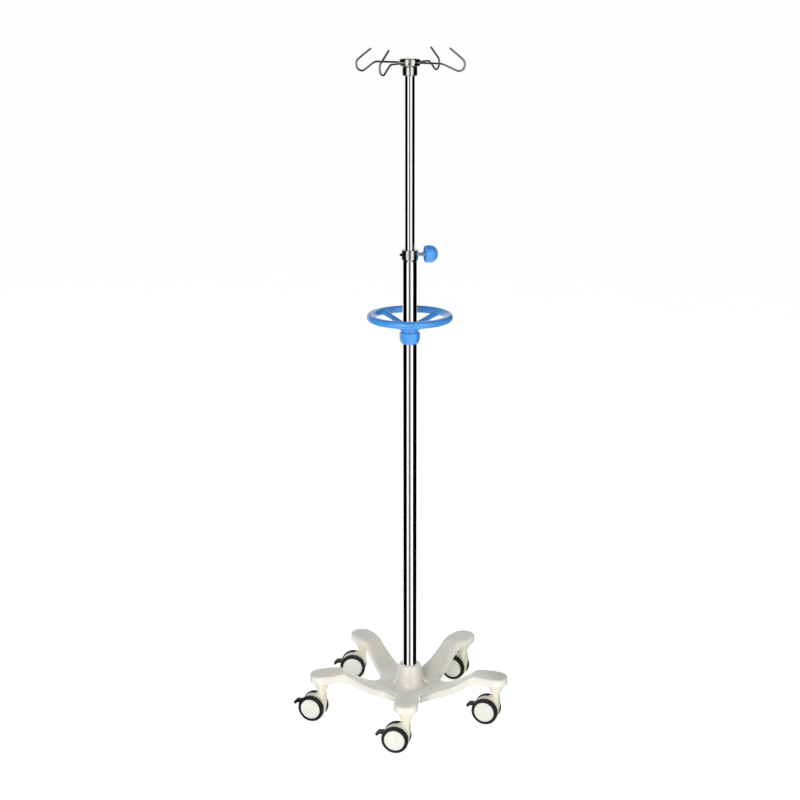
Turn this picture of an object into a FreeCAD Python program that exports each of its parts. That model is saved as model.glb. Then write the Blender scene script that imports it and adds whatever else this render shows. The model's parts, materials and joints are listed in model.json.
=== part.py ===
"""Hospital IV drip stand: five-star base on twin-wheel castors, telescopic mast, handle ring, four bag hooks.

Millimetres, +Z up. The origin is on the mast axis at floor level, and one base leg points along -Y.
Each function builds one sub-part where it stands, and export() writes it to parts/NODE.step.
"""
import FreeCAD, Part
import math
import os

from FreeCAD import Vector

# ---------------------------------------------------------------- driving dimensions
LEGS = 5
LEG_ANGLES = [-90.0 + i * 360.0 / LEGS for i in range(LEGS)]
STEM_CIRCLE_R = 213.0          # castor stems, from the mast axis
LEG_HALF_WIDTH = 21.5          # where the flare of the leg ends starts
LEG_TAPER = 0.11               # how much each side spreads towards the hub
PAD_HALF_WIDTH = 27.0          # round leg ends
FLARE_START = 152.0            # each leg widens to its end between these distances from the mast
FLARE_END = 196.0
WEB_R = 42.0                   # plan radius between neighbouring legs
LEG_THICK = 20.5
LEG_MID = (104.0, 78.5)        # distance and height of the top surface at mid-leg
PAD_BOTTOM = 98.0              # underside of the leg ends
PAD_TOP = 117.5
CREST_R = 162.0                # where the rising leg turns level
CREST_TOP = 119.0
HUB_TOP = 61.0                 # leg top surface beside the hub cone
HUB_BOTTOM = 43.0
BOSS_BOTTOM = 40.0
CONE_TOP = 117.0
CONE_TOP_R = 25.0
CONE_FOOT_R = 36.0
SHELL = 4.0                    # wall of the ribbed underside

COLUMN_R = 16.0
COLUMN_BORE = 14.5
COLUMN_FOOT = 50.0
COLUMN_TOP = 1098.0
COLLAR_R = 18.8
COLLAR_BOTTOM = 1078.0
COLLAR_TOP = 1103.5
CLAMP_Z = 1092.5               # height of the clamp screw
CLAMP_YAW = 13.0               # its direction in plan, from +X

MAST_R = 11.0
MAST_BORE = 9.8
MAST_FOOT = 520.0
HEAD_BOTTOM = 1479.0
HEAD_TOP = 1516.5
MAST_TOP = HEAD_BOTTOM + 18.0
HOOK_Z = 1507.0
HOOK_WIRE_R = 2.25
HOOK_YAWS = [63.5, 152.0, 245.0, 331.0]
HOOK_CENTRE_Z = [-6.5, -6.5, -6.0, 0.0]      # height of each U-bend's centre from the arm
HOOK_DROOP = [35.0, 35.0, 35.0, 20.0]        # slope of each arm's last stretch, degrees
HOOK_KNEE_R = [22.0, 22.0, 22.0, 40.0]       # bend between the level arm and that stretch
HOOK_END = [40.0, 38.0, 40.0, 36.0]          # straight end past the U-bend

RING_Z = 952.0
RING_R = 87.8
RING_TUBE_R = 8.4
SPOKE_R = 6.5
NUT_BOTTOM = 892.0
NUT_TOP = 918.0
NUT_R = 22.0
NUT_CORNER_R = 23.2            # the octagon's corners before rounding
GRIP_HUB_R = 19.8
GRIP_HUB_TOP = 942.0

WHEEL_R = 31.0
TRAIL = 22.0                   # wheel centre behind the stem
WHEEL_INNER = 9.5              # inner and outer face of a wheel, from the castor's mid-plane
WHEEL_OUTER = 21.0
RIM_R = 23.4                   # where the tyre sits on the wheel
HOUSING_HALF = 8.5
HOUSING_R = 29.2
AXLE_R = 3.0
STEM_R = 5.5
STEM_TOP = 110.5
SWIVEL_TOP = 79.0
SHOULDER_TOP = 66.0
NECK_R = 9.5
CASTOR_YAWS = [-11.0, -17.0, -23.0, -2.0, -17.0]
HOOD_BOTTOM = 12.0             # open underside of the hood between the wheels
PEDAL_HALF = 5.5
PEDAL_PIVOT = (-36.0, 38.0)

FIT = 0.05                     # running clearance on radius
GAP = 0.3                      # between curved faces of different bodies
BOND = 0.02                    # between bonded curved faces of one body
Z_AXIS = Vector(0, 0, 1)
ORIGIN = Vector(0, 0, 0)


# ---------------------------------------------------------------- drawing helpers
def rounded_wire(points, place, closed=True):
    """A wire through (a, b) or (a, b, radius) corners, each radius a tangent arc.

    place maps (a, b) to a Vector.
    """
    corners = [(Vector(p[0], p[1], 0), p[2] if len(p) > 2 else 0.0) for p in points]
    count = len(corners)
    stops = []
    for i, (corner, radius) in enumerate(corners):
        ends = not closed and i in (0, count - 1)
        if radius <= 0 or ends:
            stops.append((corner, None, corner))
            continue
        back = (corners[i - 1][0] - corner).normalize()
        ahead = (corners[(i + 1) % count][0] - corner).normalize()
        half = back.getAngle(ahead) / 2
        reach = radius / math.tan(half)
        centre = corner + (back + ahead).normalize() * (radius / math.sin(half))
        middle = centre + (corner - centre).normalize() * radius
        stops.append((corner + back * reach, middle, corner + ahead * reach))
    edges = []
    for i, (start, middle, end) in enumerate(stops):
        if middle is not None:
            edges.append(Part.Arc(*[place(p.x, p.y) for p in (start, middle, end)]).toShape())
        if not closed and i == count - 1:
            break
        following = stops[(i + 1) % count][0]
        if (following - end).Length > 1e-6:
            edges.append(Part.LineSegment(place(end.x, end.y), place(following.x, following.y)).toShape())
    return Part.Wire(edges)


def on_xz(a, b):
    return Vector(a, 0, b)


def on_xy(a, b):
    return Vector(a, b, 0)


def revolved(points):
    """A solid of revolution about Z, from an outline of (radius, height) corners."""
    return Part.Face(rounded_wire(points, on_xz)).revolve(ORIGIN, Z_AXIS, 360)


def slab(points, half):
    """An XZ outline made 2 * half thick, centred on Y = 0."""
    face = Part.Face(rounded_wire(points, on_xz))
    face.translate(Vector(0, -half, 0))
    return face.extrude(Vector(0, 2 * half, 0))


def prism(points, bottom, top):
    """An XY outline from bottom to top."""
    face = Part.Face(rounded_wire(points, on_xy))
    face.translate(Vector(0, 0, bottom))
    return face.extrude(Vector(0, 0, top - bottom))


def cylinder(radius, bottom, top, x=0.0, y=0.0):
    return Part.makeCylinder(radius, top - bottom, Vector(x, y, bottom), Z_AXIS)


def ring(inner, outer, bottom, top):
    return cylinder(outer, bottom, top).cut(cylinder(inner, bottom - 1, top + 1))


def turned(shape, degrees, centre=ORIGIN, axis=Z_AXIS):
    copy = shape.copy()
    copy.rotate(centre, axis, degrees)
    return copy


def moved(shape, x=0.0, y=0.0, z=0.0):
    copy = shape.copy()
    copy.translate(Vector(x, y, z))
    return copy


def laid_along_x(shape):
    """Turns a shape made about Z so that its axis lies along +X."""
    return turned(shape, 90, axis=Vector(0, 1, 0))


def laid_along_y(shape):
    """Turns a shape made about Z so that its axis lies along +Y."""
    return turned(shape, -90, axis=Vector(1, 0, 0))


def fused(shapes):
    whole = shapes[0].multiFuse(shapes[1:]) if len(shapes) > 1 else shapes[0]
    return whole.removeSplitter()


def export(name, *shapes):
    solids = [s for shape in shapes for s in shape.Solids]
    for solid in solids:
        if not solid.isValid() or solid.Volume <= 0:
            raise ValueError(name + " has a solid that isn't valid")
    whole = solids[0] if len(solids) == 1 else Part.Compound(solids)
    whole.exportStep("parts/" + name + ".step")
    box = whole.BoundBox
    print(name, len(solids), "solid(s)", round(sum(s.Volume for s in solids) / 1000, 2), "cm3",
          "z", round(box.ZMin, 1), round(box.ZMax, 1))


# ---------------------------------------------------------------- five-star base
def leg_profile(drop):
    """One leg from the side, as (distance from the mast, height), with its top lowered by drop."""
    end = STEM_CIRCLE_R + 60
    depth = 20 if drop > 0 else 0
    return [
        (0, HUB_TOP - drop),
        (52, HUB_TOP - drop, 60),
        (LEG_MID[0], LEG_MID[1] - drop, 220),
        (CREST_R, CREST_TOP - drop, 14),
        (end, PAD_TOP - drop),
        (end, PAD_BOTTOM - depth),
        (CREST_R + 6, PAD_BOTTOM - depth, 18),
        (LEG_MID[0], LEG_MID[1] - LEG_THICK - depth, 220),
        (56, HUB_BOTTOM - depth, 60),
        (0, HUB_BOTTOM - depth),
    ]


def star_outline(inset, reach):
    """The five legs in plan: concave webs, straight sides, a flare and a round end at reach."""
    side = LEG_HALF_WIDTH - inset
    pad = PAD_HALF_WIDTH - inset
    web = (side + LEG_TAPER * FLARE_START) / (math.tan(math.radians(180.0 / LEGS)) + LEG_TAPER)
    web_side = side + LEG_TAPER * (FLARE_START - web)
    corners = []
    for angle in LEG_ANGLES:
        turn = math.radians(angle)
        for x, y, radius in (
            (web, -web_side, WEB_R + inset), (FLARE_START, -side, 90), (FLARE_END - inset, -pad, 90),
            (reach, -pad, pad), (reach, pad, pad), (FLARE_END - inset, pad, 90), (FLARE_START, side, 90),
        ):
            across = x * math.cos(turn) - y * math.sin(turn)
            ahead = x * math.sin(turn) + y * math.cos(turn)
            corners.append((across, ahead, radius))
    return prism(corners, 0, 130)


def leg_sector():
    """A fifth of the star, along +X, hollow beneath with one rib down its middle."""
    half_angle = math.radians(180.0 / LEGS)
    edge = (300 * math.cos(half_angle), 300 * math.sin(half_angle))
    wedge = prism([(0, 0), (edge[0], -edge[1]), edge], 0, 130)
    whole = turned(star_outline(0, STEM_CIRCLE_R + PAD_HALF_WIDTH), -LEG_ANGLES[0]).common(wedge)
    inner = turned(star_outline(SHELL, STEM_CIRCLE_R + 5), -LEG_ANGLES[0]).common(wedge)
    hollow = slab(leg_profile(SHELL), 130).common(inner)
    hollow = hollow.cut(cylinder(44, 0, 130)).cut(cylinder(18, 0, 130, STEM_CIRCLE_R))
    hollow = hollow.cut(Part.makeBox(300, 4, 130, Vector(0, -2, 0)))
    return slab(leg_profile(0), 130).common(whole).cut(hollow)


def base_star():
    sector = leg_sector()
    cone = revolved([
        (0, BOSS_BOTTOM), (40, BOSS_BOTTOM, 3), (47, HUB_BOTTOM + 1), (60, HUB_BOTTOM + 1), (60, HUB_TOP - 2),
        (50, HUB_TOP + 0.3, 10), (CONE_FOOT_R, HUB_TOP + 3, 8), (CONE_TOP_R, CONE_TOP, 5), (0, CONE_TOP),
    ])
    star = fused([turned(sector, a) for a in LEG_ANGLES] + [cone])
    star = star.cut(cylinder(COLUMN_R + BOND, COLUMN_FOOT, 200)).cut(cylinder(5.3, 0, 100))
    for angle in LEG_ANGLES:
        socket = cylinder(STEM_R + BOND, 0, STEM_TOP + 0.5, STEM_CIRCLE_R)
        star = star.cut(turned(socket, angle))
    return star


def hub_plate():
    return ring(5.3, 38, BOSS_BOTTOM - 4, BOSS_BOTTOM)


def column_plug():
    return ring(5.0, COLUMN_BORE - BOND, COLUMN_FOOT, COLUMN_FOOT + 30)


def column_bolt():
    """Hex-head M10 bolt up through the hub plate into the column plug."""
    head_top = BOSS_BOTTOM - 4
    hexagon = [(9.8 * math.cos(math.radians(60 * i)), 9.8 * math.sin(math.radians(60 * i))) for i in range(6)]
    head = prism(hexagon, head_top - 6.4, head_top)
    return fused([head, cylinder(5.0 - BOND, head_top, COLUMN_FOOT + 26)])


# ---------------------------------------------------------------- column, collar and clamp
def clamp_hole(radius, near, far):
    hole = laid_along_x(cylinder(radius, near, far))
    return turned(moved(hole, z=CLAMP_Z), CLAMP_YAW)


def lower_tube():
    tube = ring(COLUMN_BORE, COLUMN_R, COLUMN_FOOT, COLUMN_TOP)
    screw_hole = moved(laid_along_x(cylinder(2.5, -30, -10)), z=CLAMP_Z)
    return tube.cut(clamp_hole(4.3, 10, 30)).cut(turned(screw_hole, CLAMP_YAW))


def clamp_collar():
    body = revolved([
        (COLUMN_R + BOND, COLLAR_BOTTOM), (COLLAR_R - 2.8, COLLAR_BOTTOM, 0.6),
        (COLLAR_R, COLLAR_BOTTOM + 5, 1.5), (COLLAR_R, COLLAR_TOP, 1.6), (MAST_R + 0.7, COLLAR_TOP, 0.8),
        (MAST_R + 0.7, COLUMN_TOP + 2), (COLUMN_R + BOND, COLUMN_TOP + 2),
    ])
    screw_hole = moved(laid_along_x(cylinder(2.5, -30, -10)), z=CLAMP_Z)
    return body.cut(clamp_hole(4.0 + FIT, 10, 30)).cut(turned(screw_hole, CLAMP_YAW))


def collar_set_screw():
    """Button-head screw that locks the collar to the tube, opposite the knob."""
    shank = cylinder(2.5 - BOND, COLUMN_BORE + 0.3, COLLAR_R + 0.4)
    head = revolved([
        (0, COLLAR_R + 0.2), (3.2, COLLAR_R + 0.2, 0.4), (2.9, COLLAR_R + 3.6, 1.4), (0, COLLAR_R + 3.6),
    ])
    socket = prism([(1.6 * math.cos(math.radians(60 * i)), 1.6 * math.sin(math.radians(60 * i)))
                    for i in range(6)], COLLAR_R + 1.6, COLLAR_R + 5)
    screw = fused([shank, head]).cut(socket)
    screw = moved(laid_along_x(screw), z=CLAMP_Z)
    return turned(screw, 180 + CLAMP_YAW)


def guide_bush():
    """Nylon guide for the mast in the column's top end."""
    bush = fused([
        ring(MAST_R + FIT, COLUMN_BORE - BOND, COLUMN_TOP - 40, COLUMN_TOP),
        ring(MAST_R + FIT, COLUMN_R, COLUMN_TOP, COLUMN_TOP + 2),
    ])
    return bush.cut(clamp_hole(4.3, 10, 30))


def clamp_pad():
    """Brass pad at the screw's tip. It slides with the screw and doesn't turn."""
    pad = fused([cylinder(3.9, MAST_R + FIT, 14.2), cylinder(2.0, 14.2, 18.0)])
    return turned(moved(laid_along_x(pad), z=CLAMP_Z), CLAMP_YAW)


def clamp_screw():
    screw = revolved([
        (0, 18.3), (2.0 + FIT, 18.3), (2.0 + FIT, 14.4), (3.4, 14.4), (4.0, 15.2), (4.0, 44), (3.4, 44.6),
        (0, 44.6),
    ])
    return turned(moved(laid_along_x(screw), z=CLAMP_Z), CLAMP_YAW)


def clamp_knob():
    """Six-lobed knob on the clamp screw, hollow at its back."""
    body = revolved([
        (4.0 + BOND, 28.2), (5.4, 28.2, 0.8), (5.4, 37), (15.6, 37), (15.6, 33.8), (18.4, 33.8, 1.2),
        (19.8, 40.5, 8), (19.8, 63.2, 17.5), (0, 63.2), (0, 44.8), (4.0 + BOND, 44.8),
    ])
    for i in range(6):
        flute = cylinder(7.5, 20, 57, 25.5).fuse(Part.makeSphere(7.5, Vector(25.5, 0, 57)))
        body = body.cut(turned(flute, 60 * i + 30))
    return turned(moved(laid_along_x(body), z=CLAMP_Z), CLAMP_YAW)


# ---------------------------------------------------------------- mast and hooks
def mast_plug():
    """Nylon piston in the column. The mast's foot turns on its spigot."""
    return fused([
        revolved([(0, MAST_FOOT - 24), (COLUMN_BORE - 0.1, MAST_FOOT - 24, 1.5),
                  (COLUMN_BORE - 0.1, MAST_FOOT - 0.1, 1.0), (0, MAST_FOOT - 0.1)]),
        cylinder(MAST_BORE - FIT, MAST_FOOT - 0.1, MAST_FOOT + 25),
    ])


def upper_tube():
    return ring(MAST_BORE, MAST_R, MAST_FOOT, MAST_TOP)


def hook_head():
    seam = HEAD_BOTTOM + 18.5
    body = revolved([
        (MAST_R + BOND, HEAD_BOTTOM), (16.5, HEAD_BOTTOM, 2.6), (16.5, seam), (15.6, seam + 0.4, 0.3),
        (17.0, seam + 1.0, 0.4), (22.4, seam + 2.8, 4), (24.0, HOOK_Z, 7), (22.8, HEAD_TOP, 5.5),
        (0, HEAD_TOP), (0, MAST_TOP + 0.2), (MAST_R + BOND, MAST_TOP + 0.2),
    ])
    for yaw in HOOK_YAWS:
        hole = moved(laid_along_x(cylinder(HOOK_WIRE_R + BOND, 11.9, 40)), z=HOOK_Z)
        body = body.cut(turned(hole, yaw))
    for side in (0, 180):
        hole = moved(laid_along_x(cylinder(2.0, 10, 20)), z=HEAD_BOTTOM + 9)
        body = body.cut(turned(hole, HOOK_YAWS[0] + 45 + side))
    return body


def head_screws():
    """Two grub screws that hold the head on the mast."""
    screws = []
    for side in (0, 180):
        screw = cylinder(2.0 - BOND, MAST_R + BOND, 15.2)
        socket = prism([(1.1 * math.cos(math.radians(60 * i)), 1.1 * math.sin(math.radians(60 * i)))
                        for i in range(6)], 13.2, 16)
        screw = moved(laid_along_x(screw.cut(socket)), z=HEAD_BOTTOM + 9)
        screws.append(turned(screw, HOOK_YAWS[0] + 45 + side))
    return screws


def hook(yaw, centre_z, droop, knee_r, end_length):
    """A bent wire: level arm, drooping stretch, U-bend, and a straight end that leans back in."""
    bend_r = 14.0
    centre = (121.0, centre_z)
    rise = math.radians(145)
    fall = math.radians(-droop)
    start = (centre[0] + bend_r * math.sin(fall), centre[1] - bend_r * math.cos(fall))
    end = (centre[0] + bend_r * math.sin(rise), centre[1] - bend_r * math.cos(rise))
    between = (fall + rise) / 2
    middle = (centre[0] + bend_r * math.sin(between), centre[1] - bend_r * math.cos(between))
    tip = (end[0] + end_length * math.cos(rise), end[1] + end_length * math.sin(rise))
    knee = (start[0] - start[1] / math.tan(fall), 0.0)
    arm = rounded_wire([(12.0, 0.0), (knee[0], knee[1], knee_r), start], on_xz, closed=False)
    bend = Part.Arc(on_xz(*start), on_xz(*middle), on_xz(*end)).toShape()
    last = Part.LineSegment(on_xz(*end), on_xz(*tip)).toShape()
    path = Part.Wire(arm.Edges + [bend, last])
    section = Part.Wire(Part.makeCircle(HOOK_WIRE_R, on_xz(12.0, 0.0), Vector(1, 0, 0)))
    wire = path.makePipeShell([section], True, True)
    wire = wire.fuse(Part.makeSphere(HOOK_WIRE_R, on_xz(*tip)))
    return turned(moved(wire, z=HOOK_Z), yaw)


# ---------------------------------------------------------------- handle ring and its clamp
def handle_liner():
    """Nylon sleeve between the column and the handle's hub. It slides with the handle and doesn't turn."""
    return ring(COLUMN_R + FIT, 17.6, NUT_TOP, GRIP_HUB_TOP)


def handle_ring():
    hoop = Part.makeTorus(RING_R, RING_TUBE_R, Vector(0, 0, RING_Z))
    hub = revolved([
        (17.6 + FIT, NUT_TOP - 1.0), (17.6 + FIT, GRIP_HUB_TOP), (19.0, GRIP_HUB_TOP, 1.0),
        (GRIP_HUB_R + 1.5, GRIP_HUB_TOP - 5, 3), (GRIP_HUB_R, NUT_TOP + GAP),
        (19.2, NUT_TOP + GAP), (19.2, NUT_BOTTOM + 8), (18.9, NUT_BOTTOM + 8), (18.1, NUT_TOP - 1.0),
    ])
    spokes = []
    for i in range(4):
        foot = Vector(18.0, 0, GRIP_HUB_TOP - 11)
        reach = Vector(RING_R - 1, 0, RING_Z - 1) - foot
        spoke = Part.makeCylinder(SPOKE_R, reach.Length, foot, reach)
        spokes.append(turned(spoke, 45 + 90 * i))
    body = fused([hoop, hub] + spokes)
    return body.cut(cylinder(17.6 + FIT, NUT_TOP - 1.0, GRIP_HUB_TOP + 5))


def collet_ring():
    """Split taper ring that grips the column when the nut pushes it up."""
    body = revolved([
        (COLUMN_R + FIT, NUT_BOTTOM + 4.3), (COLUMN_R + 1.2, NUT_BOTTOM + 4.3), (18.6, NUT_BOTTOM + 8.4),
        (17.6, NUT_TOP - 4), (COLUMN_R + FIT, NUT_TOP - 4),
    ])
    return body.cut(Part.makeBox(10, 2, 60, Vector(14, -1, NUT_BOTTOM)))


def clamp_nut():
    """Octagonal nut with soft corners and a rounded foot, on the skirt of the handle's hub."""
    body = revolved([
        (COLUMN_R + 0.8, NUT_BOTTOM), (COLUMN_R + 1.6, NUT_BOTTOM, 0.6), (NUT_R, NUT_BOTTOM + 7.5, 7),
        (NUT_R, NUT_TOP, 1.4), (19.2 + FIT, NUT_TOP), (19.2 + FIT, NUT_BOTTOM + 7.8),
        (COLUMN_R + 1.6, NUT_BOTTOM + 4), (COLUMN_R + 0.8, NUT_BOTTOM + 4),
    ])
    corners = []
    for i in range(8):
        turn = math.radians(45 * i)
        corners.append((NUT_CORNER_R * math.cos(turn), NUT_CORNER_R * math.sin(turn), 6))
    return body.common(prism(corners, NUT_BOTTOM - 1, NUT_TOP + 1))


# ---------------------------------------------------------------- castors
def stem_cup():
    return revolved([
        (STEM_R + BOND, SWIVEL_TOP + 0.4), (12.6, SWIVEL_TOP + 0.4, 0.8), (16.8, SWIVEL_TOP + 8, 3),
        (16.8, PAD_BOTTOM), (STEM_R + BOND, PAD_BOTTOM),
    ])


def caster_stem():
    """Steel stem: pressed into the leg above, and the castor swivels on its lower end."""
    return fused([cylinder(STEM_R, SWIVEL_TOP + 0.4, STEM_TOP), cylinder(STEM_R - 0.5, 44, SWIVEL_TOP + 0.4)])


def caster_housing():
    """Hood between the two wheels, its upright neck, and the pedal's pivot pin."""
    hood = moved(laid_along_y(cylinder(HOUSING_R, -HOUSING_HALF, HOUSING_HALF)), x=-TRAIL, z=WHEEL_R)
    hood = hood.cut(Part.makeBox(80, 40, 40, Vector(-TRAIL - 40, -20, HOOD_BOTTOM - 40)))
    shoulder = slab([
        (-TRAIL, WHEEL_R + HOUSING_R - 1), (-12, SHOULDER_TOP, 8), (NECK_R, SHOULDER_TOP), (NECK_R, 42, 14),
        (4, HOOD_BOTTOM, 3), (-TRAIL, HOOD_BOTTOM),
    ], HOUSING_HALF)
    neck = revolved([
        (0, 40), (NECK_R, 40), (NECK_R, SWIVEL_TOP - 1, 0.8), (NECK_R - 0.6, SWIVEL_TOP), (0, SWIVEL_TOP),
    ])
    wheels = moved(laid_along_y(cylinder(WHEEL_R + 1.2, -30, 30)), x=-TRAIL, z=WHEEL_R)
    neck = neck.cut(wheels.cut(Part.makeBox(80, 2 * HOUSING_HALF, 80, Vector(-60, -HOUSING_HALF, 0))))
    body = fused([hood, shoulder, neck])
    body = body.cut(cylinder(STEM_R - 0.5 + FIT, 43, SWIVEL_TOP + 5))
    body = body.cut(moved(laid_along_y(cylinder(AXLE_R, -20, 20)), x=-TRAIL, z=WHEEL_R))
    pocket = slab([(-62, 28), (-62, 47.5), (-29, 47.5), (-29, 31, 3), (-33, 28)], PEDAL_HALF + 0.4)
    pin = laid_along_y(cylinder(1.7, -PEDAL_HALF - 1, PEDAL_HALF + 1))
    pin = moved(pin, x=PEDAL_PIVOT[0], z=PEDAL_PIVOT[1])
    return fused([body.cut(pocket), pin])


def caster_axle():
    rod = cylinder(AXLE_R, -17.1, 17.1)
    heads = [cylinder(4.6, 17.1, 18.1), cylinder(4.6, -18.1, -17.1)]
    return moved(laid_along_y(fused([rod] + heads)), x=-TRAIL, z=WHEEL_R)


def wheel_core():
    """Wheel body and its snap-in disc cover, about Z, with the outer face up."""
    core = revolved([
        (AXLE_R + FIT, 9.0), (8, 9.0, 0.5), (9, 11), (20.2, 11), (21.4, WHEEL_INNER + 0.6),
        (RIM_R, WHEEL_INNER + 0.6), (RIM_R, 19.2), (RIM_R - 2.4, 19.2), (RIM_R - 2.4, 13.8), (9, 13.8),
        (8, 16.8), (AXLE_R + FIT, 16.8),
    ])
    cover = revolved([
        (0, 18.6), (RIM_R - 3.9, 18.6), (RIM_R - 3.9, 15.5), (RIM_R - 2.4 - BOND, 15.5),
        (RIM_R - 2.4 - BOND, 19.2 + BOND), (RIM_R + 0.4, 19.2 + BOND), (RIM_R + 0.4, 20.2, 0.6),
        (RIM_R - 0.6, WHEEL_OUTER, 0.8), (RIM_R - 2.6, WHEEL_OUTER, 0.6),
        (RIM_R - 3.4, WHEEL_OUTER - 0.7, 0.4), (0, WHEEL_OUTER - 0.2),
    ])
    return [core, cover]


def wheel_tyre():
    return revolved([
        (RIM_R + BOND, WHEEL_INNER + 0.5, 0.2), (WHEEL_R, WHEEL_INNER + 0.3, 2.4), (WHEEL_R, 20.4, 3.4),
        (RIM_R + 0.6, 20.4, 0.4), (RIM_R + 0.6, 19.2), (RIM_R + BOND, 19.2),
    ])


def brake_pedal():
    lever = slab([
        (-31, 33.5, 2.5), (-31, 41.5, 4), (-44, 45.0, 6), (-63, 43.5, 3), (-70, 36.5, 1.6), (-70, 31.0, 1.0),
        (-65, 31.0, 1.0), (-60.5, 35.6, 3), (-50, 35.6, 4), (-42, 32.5, 3),
    ], PEDAL_HALF)
    pivot_hole = laid_along_y(cylinder(1.7 + FIT, -8, 8))
    return lever.cut(moved(pivot_hole, x=PEDAL_PIVOT[0], z=PEDAL_PIVOT[1]))


def at_leg(shape, leg, yaw=0.0):
    """Carries a shape from the castor's own frame (stem at the origin, trailing along -X) to its leg."""
    angle = math.radians(LEG_ANGLES[leg])
    return moved(turned(shape, yaw), STEM_CIRCLE_R * math.cos(angle), STEM_CIRCLE_R * math.sin(angle))


def export_casters():
    near = [turned(laid_along_y(s), 180) for s in wheel_core()]
    far = [laid_along_y(s) for s in wheel_core()]
    near_tyre = turned(laid_along_y(wheel_tyre()), 180)
    far_tyre = laid_along_y(wheel_tyre())
    housing = caster_housing()
    axle = caster_axle()
    for leg, yaw in enumerate(CASTOR_YAWS):
        name = "caster_%d_" % (leg + 1)

        def wheel_place(shape):
            return at_leg(moved(shape, x=-TRAIL, z=WHEEL_R), leg, yaw)

        export(name + "housing", at_leg(housing, leg, yaw))
        export(name + "axle", at_leg(axle, leg, yaw))
        export(name + "brake_pedal", at_leg(brake_pedal(), leg, yaw))
        export(name + "left_wheel", *[wheel_place(s) for s in near])
        export(name + "left_tyre", wheel_place(near_tyre))
        export(name + "right_wheel", *[wheel_place(s) for s in far])
        export(name + "right_tyre", wheel_place(far_tyre))


def main():
    os.makedirs("parts", exist_ok=True)
    export("base_star", base_star())
    export("hub_plate", hub_plate())
    export("column_plug", column_plug())
    export("column_bolt", column_bolt())
    export("stem_cups", *[at_leg(stem_cup(), leg) for leg in range(LEGS)])
    export("caster_stems", *[at_leg(caster_stem(), leg) for leg in range(LEGS)])
    export("lower_tube", lower_tube())
    export("clamp_collar", clamp_collar())
    export("collar_set_screw", collar_set_screw())
    export("guide_bush", guide_bush())
    export("clamp_pad", clamp_pad())
    export("clamp_screw", clamp_screw())
    export("clamp_knob", clamp_knob())
    export("mast_plug", mast_plug())
    export("upper_tube", upper_tube())
    export("hook_head", hook_head())
    export("head_screws", *head_screws())
    for i, yaw in enumerate(HOOK_YAWS):
        wire = hook(yaw, HOOK_CENTRE_Z[i], HOOK_DROOP[i], HOOK_KNEE_R[i], HOOK_END[i])
        export("hook_%d" % (i + 1), wire)
    export("handle_liner", handle_liner())
    export("handle_ring", handle_ring())
    export("collet_ring", collet_ring())
    export("clamp_nut", clamp_nut())
    export_casters()


main()
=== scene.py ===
"""Looks of the drip stand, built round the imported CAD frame.

Shapes are drawn in millimetres and scaled to metres as each mesh is made. A shape is a pair: an array of
points and a list of faces. Places come from the CAD nodes' boxes and from the joints.
"""

import json
import math

import bmesh
import bpy
import numpy as np
from mathutils import Matrix, Vector

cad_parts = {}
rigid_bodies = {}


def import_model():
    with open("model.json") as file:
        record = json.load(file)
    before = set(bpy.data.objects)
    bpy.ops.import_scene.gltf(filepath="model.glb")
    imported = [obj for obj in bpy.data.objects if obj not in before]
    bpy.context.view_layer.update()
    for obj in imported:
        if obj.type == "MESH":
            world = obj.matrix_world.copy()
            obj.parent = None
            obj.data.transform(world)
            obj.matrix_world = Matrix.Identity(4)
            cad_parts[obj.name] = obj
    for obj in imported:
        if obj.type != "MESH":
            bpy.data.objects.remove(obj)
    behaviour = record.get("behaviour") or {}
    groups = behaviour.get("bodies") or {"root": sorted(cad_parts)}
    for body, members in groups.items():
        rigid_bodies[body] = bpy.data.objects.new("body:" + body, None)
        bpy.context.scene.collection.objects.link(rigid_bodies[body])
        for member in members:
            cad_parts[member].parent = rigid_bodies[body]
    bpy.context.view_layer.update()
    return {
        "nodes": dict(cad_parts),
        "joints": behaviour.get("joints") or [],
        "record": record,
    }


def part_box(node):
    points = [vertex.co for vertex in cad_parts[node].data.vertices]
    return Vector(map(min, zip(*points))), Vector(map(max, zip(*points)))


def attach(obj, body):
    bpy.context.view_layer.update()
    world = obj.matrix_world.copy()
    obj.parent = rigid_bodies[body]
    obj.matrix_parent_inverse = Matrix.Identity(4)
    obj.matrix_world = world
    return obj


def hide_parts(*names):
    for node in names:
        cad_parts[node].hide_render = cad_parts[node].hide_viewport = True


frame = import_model()

MM = 0.001
JOINTS = {joint["name"]: joint for joint in frame["joints"]}
LEGS = 5
HALF_LEG = math.pi / LEGS
FRONT = -math.pi / 2            # azimuth of the first leg


# ---------------------------------------------------------------- frame sizes
def span(node):
    """Lowest and highest corner of a CAD node, in millimetres."""
    low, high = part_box(node)
    return low / MM, high / MM


def joint_point(name):
    return Vector(JOINTS[name]["pos_m"]) / MM


def caster_place(number):
    """The castor's own frame in metres: stem at the origin, +X from the wheel axle to the stem."""
    stem = joint_point("caster_%d_swivel_turn" % number)
    wheel = joint_point("caster_%d_left_spin" % number)
    yaw = math.atan2(stem.y - wheel.y, stem.x - wheel.x)
    return Matrix.Translation((stem.x * MM, stem.y * MM, 0)) @ Matrix.Rotation(yaw, 4, "Z")


STEM_CIRCLE = joint_point("caster_1_swivel_turn").xy.length
REACH = -span("base_star")[0].y                # leg tips
PAD = REACH - STEM_CIRCLE                      # half width of the leg ends
COLUMN_R = span("lower_tube")[1].x
MAST_R = span("upper_tube")[1].x
WHEEL_R = joint_point("caster_1_left_spin").z
TRAIL = (joint_point("caster_1_swivel_turn") - joint_point("caster_1_left_spin")).xy.length


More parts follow.
